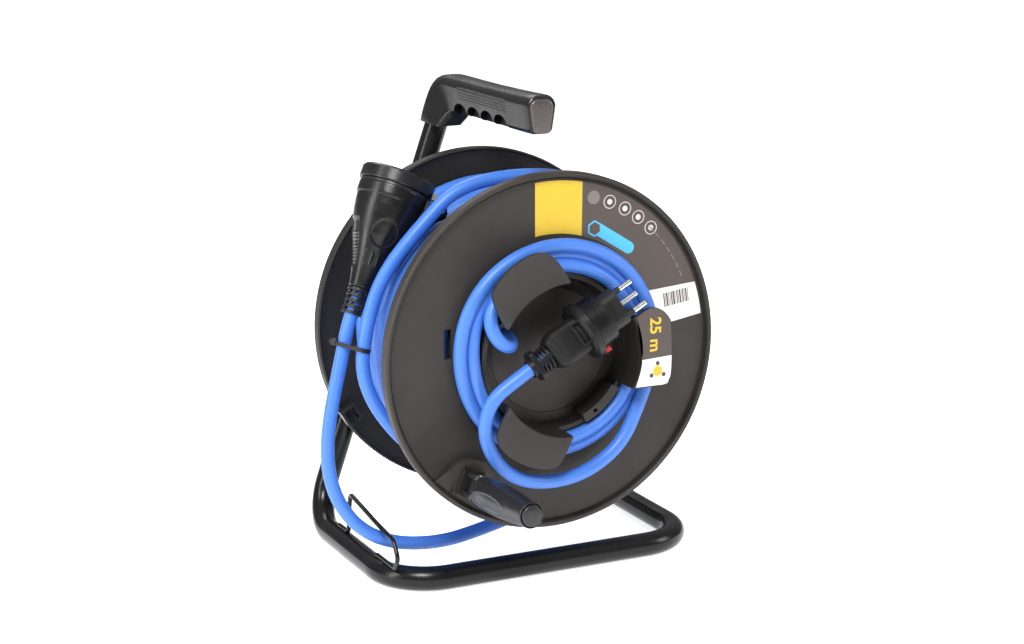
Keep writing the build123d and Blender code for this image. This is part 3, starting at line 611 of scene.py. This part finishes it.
def knob_pad(a, l, r):
    out = r
    for c in (math.radians(210), math.radians(30)):
        da = (a - c + math.pi) % (2 * math.pi) - math.pi
        u, v = (l - 30.0) / 25.0, da * r / 7.4
        d = math.sqrt(u * u + v * v)
        if d < 1.0:
            s = min(1.0, (1 - d) / 0.10)
            out = r - 0.75 * s + 0.35 * max(0.0, 1 - d * 1.15)
        elif d < 1.16:
            out = r + 0.12
    return out


M_KNOB = surface("knob_soft_plastic", (0.013, 0.0125, 0.013), 0.36, grain=1300, grain_h=0.00004, wave=70, wave_h=0.0001, edge=0.25, spec=0.5)
knob = add("crank_knob_moulding", revolve("crank_knob_moulding", KA, prof, n=144, bump=knob_pad), M_KNOB, "crank_grip", angle=50)
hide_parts("crank_knob")
capk = [(3.2, 75.2), (7.55, 75.2), (7.6, 79.6), (7.5, 80.3), (7.1, 80.8), (6.6, 81.0), (3.0, 81.15), (0.3, 81.2)]
kc = add("crank_knob_end_cap", revolve("crank_knob_end_cap", KA, capk, n=72), M_KNOB, "crank_grip", angle=40)
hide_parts("crank_knob_cap")

# ------------------------------------------------------------------ plug
PQ = Vector((0.4446, -0.4152, -0.7937))
PW = PA.cross(PQ)
PX = Axis(PT, PQ, PW, PA)


def band(A, r1, r2, l1, l2, n=64, w=1.0, h=1.0, ch=0.3):
    """Thick ring between two radii, squeezed to w by h."""
    pr = [(r1, l1 + ch), (r1 + ch, l1), (r2 - ch, l1), (r2, l1 + ch), (r2, l2 - ch), (r2 - ch, l2), (r1 + ch, l2), (r1, l2 - ch)]
    verts, faces = [], []
    for j in range(n):
        a = 2 * math.pi * j / n
        for r, l in pr:
            verts.append(A.at(r * math.cos(a) * w, r * math.sin(a) * h, l))
    k = len(pr)
    for j in range(n):
        for i in range(k):
            faces.append((j * k + i, j * k + (i + 1) % k, ((j + 1) % n) * k + (i + 1) % k, ((j + 1) % n) * k + i))
    return raw("band", verts, faces)


def bar_piece(A, p, q, wp, wq, l1, l2, ch=0.25, rot=0.0):
    c, s = math.cos(rot), math.sin(rot)
    poly = [(p + c * x - s * y, q + s * x + c * y) for x, y in ((-wp / 2, -wq / 2), (wp / 2, -wq / 2), (wp / 2, wq / 2), (-wp / 2, wq / 2))]
    return prism("bar", A, poly, l1, l2, ch)


# collar with notched corners, then a ladder of thin ribs up to the body
parts = []
octo = [(-11.5, -5.0), (-8.5, -8.2), (8.5, -8.2), (11.5, -5.0), (11.5, 5.0), (8.5, 8.2), (-8.5, 8.2), (-11.5, 5.0)]
flange = prism("pf", PX, octo, 3.2, 7.4, 0.6)
hole = loft("hole", [[PX.at(5.15 * math.cos(2 * math.pi * j / 40), 5.15 * math.sin(2 * math.pi * j / 40), l) for j in range(40)] for l in (-2.0, 14.6)])
flange = boolean(flange, [hole], "pf")
parts.append(flange)
parts.append(band(PX, 5.25, 7.4, 0.0, 3.6, w=1.0, h=1.0))
for i in range(3):
    parts.append(band(PX, 5.3, 8.0 + 0.3 * i, 8.9 + 3.1 * i, 10.6 + 3.1 * i, w=1.12, h=0.98))
for aa in (0, 90, 180, 270):
    a0 = math.radians(aa)
    parts.append(bar_piece(PX, 6.9 * math.cos(a0), 6.9 * math.sin(a0), 3.0, 3.4, 7.0, 18.2, rot=a0))
parts.append(revolve("neckcore", PX, [(5.3, 14.8), (6.2, 14.8), (6.2, 18.1), (5.3, 18.1)], n=40))
relief = add("plug_relief_ladder", join(parts, "plug_relief_ladder"), M_SOFT2, "drum", angle=30)
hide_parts("plug_strain_relief")

# grip body: rounded block with fine cross-hatched faces
pb = []
n_l = 120
for i in range(n_l + 1):
    l = 18.0 + 27.2 * i / n_l
    s = (l - 18.0) / 27.2
    w = 19.0 + 9.6 * min(1, s / 0.30) ** 0.55 - 1.2 * max(0, s - 0.55)
    h = 17.0 + 6.8 * min(1, s / 0.32) ** 0.6
    if l < 19.0:
        w, h = w - 1.6 * (19.0 - l), h - 1.6 * (19.0 - l)
    ring = []
    for (p, q) in rrect(w, h, min(w, h) * 0.27, n=28):
        u = abs(p) > w / 2 - 0.4 or abs(q) > h / 2 - 0.4
        z = 0.0
        if u and 20.5 < l < 43.0:
            along = q if abs(p) > w / 2 - 0.4 else p
            z = 0.26 * max(-0.6, math.sin((l + along) * 2 * math.pi / 2.3) * math.sin((l - along) * 2 * math.pi / 2.3) * 1.6)
        nx, ny = (math.copysign(1, p), 0) if abs(p) > w / 2 - 0.4 else (0, math.copysign(1, q))
        ring.append(PX.at(p + nx * z, q + ny * z, l))
    pb.append(ring)
pbody = add("plug_grip_body", loft("plug_grip_body", pb), surface("plug_grip_knurl", (0.008, 0.008, 0.0085), 0.46, spec=0.2, grain=2600, grain_h=0.00012, edge=0.6), "drum", angle=40)
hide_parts("plug_body")


def skirt_seams(op, x, y, z):
    """Fine seam lines across the plug's axis."""
    l = op("ADD", op("ADD", op("MULTIPLY", op("SUBTRACT", x, PT.x), PA.x), op("MULTIPLY", op("SUBTRACT", y, PT.y), PA.y)), op("MULTIPLY", op("SUBTRACT", z, PT.z), PA.z))
    a1 = op("LESS_THAN", op("ABSOLUTE", op("SUBTRACT", l, 59.8)), 0.28)
    a2 = op("LESS_THAN", op("ABSOLUTE", op("SUBTRACT", l, 49.6)), 0.22)
    return op("SUBTRACT", 1.0, op("MAXIMUM", a1, a2))


spatial_bump(M_SOFT2, skirt_seams, 0.0006)

# latch frame on the collar's side: raised rim round a dark slot with a small catch
LA = Axis(PT + PA * 56.0, PQ, PA, PW * -1.0)


def frame_piece(name, A, w, h, t, l1, l2, bev=0.3):
    outer, inner = rrect(w, h, 1.2, 5), rrect(w - 2 * t, h - 2 * t, 0.6, 5)
    n = len(outer)
    verts = [A.at(p, q, l) for l in (l1, l2) for p, q in outer] + [A.at(p, q, l) for l in (l1, l2) for p, q in inner]
    faces = []
    for j in range(n):
        k = (j + 1) % n
        faces += [(j, k, n + k, n + j), (2 * n + j, 3 * n + j, 3 * n + k, 2 * n + k), (n + j, n + k, 3 * n + k, 3 * n + j), (j, 2 * n + j, 2 * n + k, k)]
    return raw(name, verts, faces)


slotA = Axis(PT + PA * 42.2, PQ, PA, PW * -1.0)
lat = [frame_piece("lf", slotA, 19.0, 8.2, 1.4, 8.0, 16.4)]
lat.append(prism("catch", slotA, [(-6.6, -0.9), (6.6, -0.9), (6.6, 0.1), (-6.6, 0.1)], 9.0, 15.2, 0.2))
latch = add("plug_latch_frame", join(lat, "plug_latch_frame"), M_SOFT2, "drum", angle=30)
ld = add("plug_latch_slot", prism("plug_latch_slot", slotA, [(-8.2, -2.8), (8.2, -2.8), (8.2, 2.8), (-8.2, 2.8)], 8.0, 12.9, 0.2), M_DARK, "drum")
# two small moulded marks on the front body, plain rings
marks = []
for i, (pp, ll) in enumerate(((-4.0, 73.0), (0.0, 73.0), (4.0, 73.0))):
    A = Axis(PT + PA * ll + PQ * pp, PQ, PA, PW * -1.0)
    marks.append(band(A, 0.9, 1.35, 11.2, 11.75, n=28, ch=0.08))
fm = add("plug_face_rings", join(marks, "plug_face_rings"), M_SOFT2, "drum")

# ------------------------------------------------------------------ coupling
CE1, CE2 = Vector((0.8038, -0.5128, -0.3017)), Vector((0.3987, 0.8406, -0.3666))
CX = Axis(CB, CE1, CE2, CA)
cam_pos = Vector((-684.2, -1410.7, 549.3))
to_cam = (cam_pos - (CB + CA * 60)).normalized()
phi = math.atan2(to_cam.dot(CE2), to_cam.dot(CE1))          # the side that faces the front


def seg(profile, step=0.7):
    out = []
    for (ra, la), (rb, lb) in zip(profile, profile[1:]):
        n = max(1, int(max(abs(lb - la), abs(rb - ra)) / step))
        for i in range(n):
            out.append((ra + (rb - ra) * i / n, la + (lb - la) * i / n))
    out.append(profile[-1])
    return out


cprof = [(5.3, 20.6), (8.2, 20.6), (8.8, 21.4), (9.0, 24.0), (10.2, 30.0), (12.0, 37.0), (14.6, 45.0), (17.4, 53.0), (20.0, 60.0), (22.2, 67.5), (23.8, 74.5), (25.0, 82.0),
         (25.5, 87.2), (25.55, 88.0), (26.35, 88.5), (26.5, 90.0), (26.6, 96.4), (26.3, 97.0), (22.1, 97.0), (22.0, 78.2), (0.4, 78.0)]


def coupling_relief(a, l, r):
    if l > 97 or r < 8 or l < 20.7:
        return r
    out = r
    # flat round dimple facing forward
    da = (a - (phi + 0.18) + math.pi) % (2 * math.pi) - math.pi
    u, v = l - 62.0, da * r
    d = math.hypot(u, v)
    if d < 10.4:
        out -= 0.75 * min(1.0, (10.4 - d) / 0.8)
    # three short ridges below it
    for c in (-0.36, -0.02, 0.32):
        v = ((a - (phi + 0.05) + math.pi) % (2 * math.pi) - math.pi) * r - c * 14.0
        u = (l - (42.5 + 1.2 * c)) / 5.6
        e = math.hypot(u, v / 1.05)
        if e < 1.0:
            out += 0.75 * (1 - e * e) ** 0.5
    # grip recesses on both sides, with fine cross ribs
    for off in (-1.30, 1.42):
        da = (a - (phi + off) + math.pi) % (2 * math.pi) - math.pi
        v = da * r
        top = 69.0
        width = 8.6 if l > 54 else 8.6 - (54 - l) * 0.22
        if 34.0 < l < top and abs(v) < width:
            e = min(1.0, (width - abs(v)) / 1.3, (top - l) / 2.2, (l - 34.0) / 2.5)
            out -= 1.5 * e
            if 36 < l < 60:
                out += 0.75 * e * max(0.0, math.sin(l * 2 * math.pi / 2.3)) ** 0.6
    return out


cb = add("coupling_housing", revolve("coupling_housing", CX, seg(cprof), n=220, bump=coupling_relief), M_SOFT, "frame", angle=55)
# hinge bracket: two cheeks with a web; the end of the lid's arm sits between them but is not built here
cheek = [(23.5, 96.6), (40.5, 96.6), (42.0, 95.2), (42.0, 91.0), (39.5, 88.4), (24.6, 77.0)]
bk = []
for q1, q2 in ((-6.3, -3.9), (3.9, 6.3)):
    A = Axis(CB, CE1, CA, CE2)
    me = prism("cheek", A, cheek, q1, q2, 0.35)
    bk.append(me)
A = Axis(CB, CE1, CA, CE2)
bk.append(prism("web", A, [(23.5, 90.0), (34.0, 90.0), (34.0, 88.0), (24.4, 80.0)], -4.2, 4.2, 0.2))
brk = add("coupling_hinge_bracket", join(bk, "coupling_hinge_bracket"), surface("bracket_black", (0.006, 0.006, 0.0064), 0.5, grain=1500, grain_h=0.00004, spec=0.16), "frame", angle=30)
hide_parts("coupling_body")
for sgn, nm in ((-1, "front"), (1, "rear")):
    A = Axis(CB + CE1 * 38.0 + CA * 93.5, CE1, CA, CE2 * sgn)
    pin = add(f"lid_pin_head_{nm}", revolve(f"lid_pin_head_{nm}", A, [(0.3, 7.6), (2.0, 7.5), (2.7, 7.0), (2.8, 6.3), (1.6, 6.2), (1.6, 4.0)], n=36), M_ZINC, "frame")
# lid: shallow cap with a soft edge, a step and an arm; only a profile for it is listed here, and nothing uses it
lprof = [(0.4, 99.25), (27.4, 99.25), (27.8, 99.6), (27.9, 100.6), (27.9, 107.0), (27.5, 108.3), (26.4, 109.2), (24.0, 109.7), (23.6, 110.3), (21.0, 110.6), (0.4, 110.6)]
# ribbed sleeve: rings and staggered spines over the cord
parts = []
for i in range(5):
    r = 6.9 + 0.42 * i
    parts.append(band(CX, 5.4, r, 0.6 + 4.3 * i, 2.9 + 4.3 * i, n=48))
for i in range(5):
    for kk in range(4):
        a0 = phi + (kk + 0.5 * (i % 2)) * math.pi / 2 + 0.35
        rr = 6.1 + 0.2 * i
        parts.append(bar_piece(CX, rr * math.cos(a0), rr * math.sin(a0), 1.6, 2.4, 2.6 + 4.3 * i, 5.2 + 4.3 * i, rot=a0, ch=0.15))
for kk in (0, 1):
    a0 = phi + math.pi / 2 + kk * math.pi
    parts.append(bar_piece(CX, 6.5 * math.cos(a0), 6.5 * math.sin(a0), 2.2, 4.2, 0.7, 21.6, rot=a0, ch=0.4))
crel = add("coupling_relief_ladder", join(parts, "coupling_relief_ladder"), M_SOFT, "frame", angle=30)
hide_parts("coupling_strain_relief")

# ------------------------------------------------------------------ cable tie round the free lead and the outer turn
c1 = Vector((-139.9, YF + 62.3, 179.0))
c2 = Vector((-130.6, YF + 51.5, 176.5))
ax = (c2 - c1).normalized()
ln = Vector((0.26, 0.04, 0.96))
ln = (ln - ax * ln.dot(ax)).normalized()
nn = ln.cross(ax)
half = (c2 - c1).length / 2
mid = (c1 + c2) / 2
loop = []
R = 5.5
for i in range(26):
    a0 = -math.pi / 2 + math.pi * i / 25
    loop.append((half + R * math.cos(a0), R * math.sin(a0)))
for i in range(26):
    a0 = math.pi / 2 + math.pi * i / 25
    loop.append((-half + R * math.cos(a0), R * math.sin(a0)))
TA = Axis(mid, ax, nn, ln)
verts, faces = [], []
sec = [(0.0, -1.5), (0.9, -1.5), (1.15, -1.2), (1.15, 1.2), (0.9, 1.5), (0.0, 1.5)]
n = len(loop)
for j, (p, q) in enumerate(loop):
    c = Vector((half if p > 0 else -half, 0))
    d = (Vector((p, q)) - c)
    d = d.normalized() if d.length > 0 else Vector((0, 1))
    for o_, l_ in sec:
        verts.append(TA.at(p + d.x * o_, q + d.y * o_, l_))
for j in range(n):
    for i in range(len(sec)):
        faces.append((j * 6 + i, j * 6 + (i + 1) % 6, ((j + 1) % n) * 6 + (i + 1) % 6, ((j + 1) % n) * 6 + i))
tie = [raw("tieband", verts, faces)]
tie.append(prism("tiehead", TA, [(-half - 9.6, -3.0), (-half - 5.6, -3.0), (-half - 5.6, 2.2), (-half - 9.6, 2.2)], -2.6, 2.6, 0.4))
tie.append(prism("tietail", TA, [(-half - 11.6, -2.0), (-half - 9.0, -1.6), (-half - 9.0, -0.6), (-half - 11.6, -1.0)], -1.4, 1.4, 0.1))
tie_o = add("cable_tie_strap", join(tie, "cable_tie_strap"), M_DARK, "frame", angle=30)
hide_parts("cable_tie")


# ------------------------------------------------------------------ labels
def sheet_label(name, pts, y, mat, thick=0.12, holes=None):
    """Thin flat label from an outline (x, z about the drum axis), its face at y."""
    bm = bmesh.new()
    vs = [bm.verts.new(D(x, y, z)) for x, z in pts]
    bm.faces.new(vs)
    bmesh.ops.triangulate(bm, faces=bm.faces)
    ext = bmesh.ops.extrude_face_region(bm, geom=bm.faces[:])
    bmesh.ops.translate(bm, verts=[g for g in ext["geom"] if isinstance(g, bmesh.types.BMVert)], vec=Vector((0, thick * S, 0)))
    bmesh.ops.recalc_face_normals(bm, faces=bm.faces)
    me = bpy.data.meshes.new(name)
    bm.to_mesh(me); bm.free()
    o = add(name, me, mat, "drum", smooth=False)
    return o


def arc(r, a0, a1, n=24):
    return [(r * math.cos(math.radians(a0 + (a1 - a0) * i / n)), r * math.sin(math.radians(a0 + (a1 - a0) * i / n))) for i in range(n + 1)]


RO, RI = 126.2, 87.3
FY = 3.86


def on_circle(r, x):
    return math.degrees(math.acos(x / r))


yl = arc(RO, on_circle(RO, -13.6), on_circle(RO, 24.6), 10) + arc(RI, on_circle(RI, 24.0), on_circle(RI, -13.6), 10)
sheet_label("flange_label_yellow", yl, FY, M_YELLOW)
sheet_label("flange_label_brown", arc(RO, on_circle(RO, 24.6), 18.9, 40) + arc(RI, 25.5, on_circle(RI, 24.0), 30), FY, M_BROWN)
sheet_label("flange_label_white", arc(RO, 18.9, 7.4, 14) + [(101.5, 12.3), (88.2, 10.6)] + arc(RI, 8.0, 25.5, 10), FY, M_WHITE)
# plain marks on it
for i, (x, z) in enumerate([(33.8, 111.4), (47.0, 107.2), (59.6, 101.2), (70.7, 94.0), (81.3, 85.2)]):
    if i == 0:
        sheet_label("flange_mark_disc", [(x + 5.0 * math.cos(b), z + 5.0 * math.sin(b)) for b in [2 * math.pi * j / 36 for j in range(36)]], FY - 0.1, M_GREY)
    else:
        A = Axis(D(x, FY - 0.02, z) / S, (1, 0, 0), (0, 0, 1), (0, -1, 0))
        add(f"flange_mark_ring_{i}", band(A, 4.5, 5.1, 0.0, 0.12, n=44, ch=0.02), M_PALE, "drum", smooth=False)
        sheet_label(f"flange_mark_dot_{i}", [(x + 2.1 * math.cos(b), z + 2.1 * math.sin(b)) for b in [2 * math.pi * j / 24 for j in range(24)]], FY - 0.1, M_PALE)
bar_dir = Vector((66.7 - 41.7, 74.1 - 89.7)).normalized()
bar_n = Vector((-bar_dir.y, bar_dir.x))
ctr = Vector((50.5, 79.6))
sheet_label("flange_mark_bar", [tuple(ctr + bar_dir * p + bar_n * q) for p, q in rrect(38.0, 9.0, 4.4, 8)], FY - 0.1, M_SKY)
sheet_label("flange_mark_bar_end", [tuple(Vector((34.6, 88.4)) + Vector((6.2 * math.cos(b), 6.2 * math.sin(b)))) for b in [math.radians(60 * j - 30) for j in range(6)]], FY - 0.18, M_SKY)
sheet_label("flange_mark_hex", [tuple(Vector((34.6, 88.4)) + Vector((4.9 * math.cos(b), 4.9 * math.sin(b)))) for b in [math.radians(60 * j - 30) for j in range(6)]], FY - 0.26, M_BROWN)
for i in range(7):
    a0 = 47.0 - 3.6 * i
    sheet_label(f"flange_mark_line_{i}", arc(118.0 - 0.0 * i, a0, a0 - 2.3, 3) + arc(117.2, a0 - 2.3, a0, 3), FY - 0.1, M_GREY)
d = Vector((114.0 - 91.7, 37.9 - 34.7)).normalized()
e = Vector((d.y, -d.x))
o0 = Vector((92.4, 34.2))
x = 0.0
for i, (w, g) in enumerate([(0.9, 0.6), (0.4, 0.5), (1.2, 0.6), (0.5, 0.9), (0.4, 0.5), (0.9, 0.6), (1.3, 0.5), (0.4, 0.9), (0.8, 0.5), (0.5, 0.6), (1.2, 0.6), (0.4, 0.5), (0.9, 0.7), (0.5, 0.5), (1.1, 0.6), (0.5, 0.5)]):
    p0 = o0 + d * x
    sheet_label(f"flange_bar_{i}", [tuple(p0), tuple(p0 + d * w), tuple(p0 + d * w + e * 10.5), tuple(p0 + e * 10.5)], FY - 0.1, M_BROWN)
    x += w + g

# label on the right ear
EY = -28.13
ear_out = [(53.2, 26.4), (58.4, 29.6), (63.9, 32.2), (68.5, 32.2), (73.2, 30.2), (79.4, 23.4), (81.3, 18.2), (82.0, 8.0)]
brown = ear_out + [(82.2, -4.6), (57.5, -5.8)] + arc(58.3, -4.0, 24.0, 8)[1:]
white = [(57.6, -6.0), (82.2, -4.8), (82.0, -14.0), (81.4, -20.0), (79.0, -25.6), (76.0, -26.3), (52.6, -26.2)] + arc(58.3, -25.0, -7.5, 6)[1:]
sheet_label("ear_label_brown", brown, EY, M_BROWN)
sheet_label("ear_label_white", white, EY, M_WHITE)
sheet_label("ear_mark_disc", [(70.6 + 4.0 * math.cos(b), -15.5 + 4.0 * math.sin(b)) for b in [2 * math.pi * j / 32 for j in range(32)]], EY - 0.1, M_YELLOW)
for i in range(3):
    a0 = math.radians(90 + 120 * i)
    cx, cz = 70.6 + 5.9 * math.cos(a0), -15.5 + 5.9 * math.sin(a0)
    sheet_label(f"ear_mark_dot_{i}", [(cx + 1.7 * math.cos(b), cz + 1.7 * math.sin(b)) for b in [2 * math.pi * j / 20 for j in range(20)]], EY - 0.08, M_BROWN)
fc = bpy.data.curves.new("ear_mark_length", "FONT")
fc.body = "25 m"
fc.size = 12.6 * S
fc.extrude = 0.06 * S
fc.offset = 0.00030
fc.align_x, fc.align_y = "CENTER", "CENTER"
fo = bpy.data.objects.new("ear_mark_length", fc)
scene.collection.objects.link(fo)
fc.materials.append(M_YELLOW)
# reads downwards: text x along -z, text y along +x
fm4 = Matrix(((0, 1, 0), (0, 0, -1), (-1, 0, 0))).to_4x4()
fm4.translation = D(68.0, EY - 0.1, 12.2)
fo.matrix_world = fm4
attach(fo, "drum")

tuple(main_pts[0])

# ------------------------------------------------------------------ floor, light
bm = bmesh.new()
bmesh.ops.create_grid(bm, x_segments=1, y_segments=1, size=9.0)
me = bpy.data.meshes.new("floor")
bm.to_mesh(me); bm.free()
floor = bpy.data.objects.new("floor", me)
scene.collection.objects.link(floor)
floor.location = (0, 0, -0.0004)
fmat = bpy.data.materials.new("floor_white")
nt, b = nodes_of(fmat)
b.inputs["Base Color"].default_value = (0.93, 0.93, 0.93, 1)
b.inputs["Roughness"].default_value = 0.85
b.inputs["Specular IOR Level"].default_value = 0.1
b.inputs["Emission Color"].default_value = (1, 1, 1, 1)
b.inputs["Emission Strength"].default_value = 0.80
me.materials.append(fmat)

world = bpy.data.worlds.new("studio")
scene.world = world
world.use_nodes = True
wt = world.node_tree
bg = wt.nodes["Background"]
tc = wt.nodes.new("ShaderNodeTexCoord")
sp = wt.nodes.new("ShaderNodeSeparateXYZ")
wt.links.new(tc.outputs["Generated"], sp.inputs[0])
mr = wt.nodes.new("ShaderNodeMapRange")
mr.inputs["From Min"].default_value, mr.inputs["From Max"].default_value = -0.2, 0.9
mr.inputs["To Min"].default_value, mr.inputs["To Max"].default_value = 0.05, 0.55
wt.links.new(sp.outputs[2], mr.inputs["Value"])
wt.links.new(mr.outputs["Result"], bg.inputs["Strength"])
bg.inputs["Color"].default_value = (1, 1, 1, 1)


def area(name, loc, target, size, power, color=(1, 1, 1), size_y=None):
    ld_ = bpy.data.lights.new(name, "AREA")
    ld_.energy, ld_.size, ld_.color = power, size, color
    if size_y:
        ld_.shape, ld_.size_y = "RECTANGLE", size_y
    o = bpy.data.objects.new(name, ld_)
    scene.collection.objects.link(o)
    o.location = loc
    o.rotation_euler = (Vector(target) - Vector(loc)).to_track_quat("-Z", "Y").to_euler()
    return o


area("key_top_left", (-0.75, -1.0, 1.5), (0, 0, 0.2), 0.6, 33)
area("fill_right", (1.4, -0.9, 0.8), (0, 0, 0.2), 0.6, 8)
area("rim_left", (-1.35, -0.1, 0.6), (-0.1, 0, 0.2), 0.22, 11, size_y=1.2)
area("back_top", (0.2, 1.2, 1.5), (0, 0, 0.25), 0.9, 10)
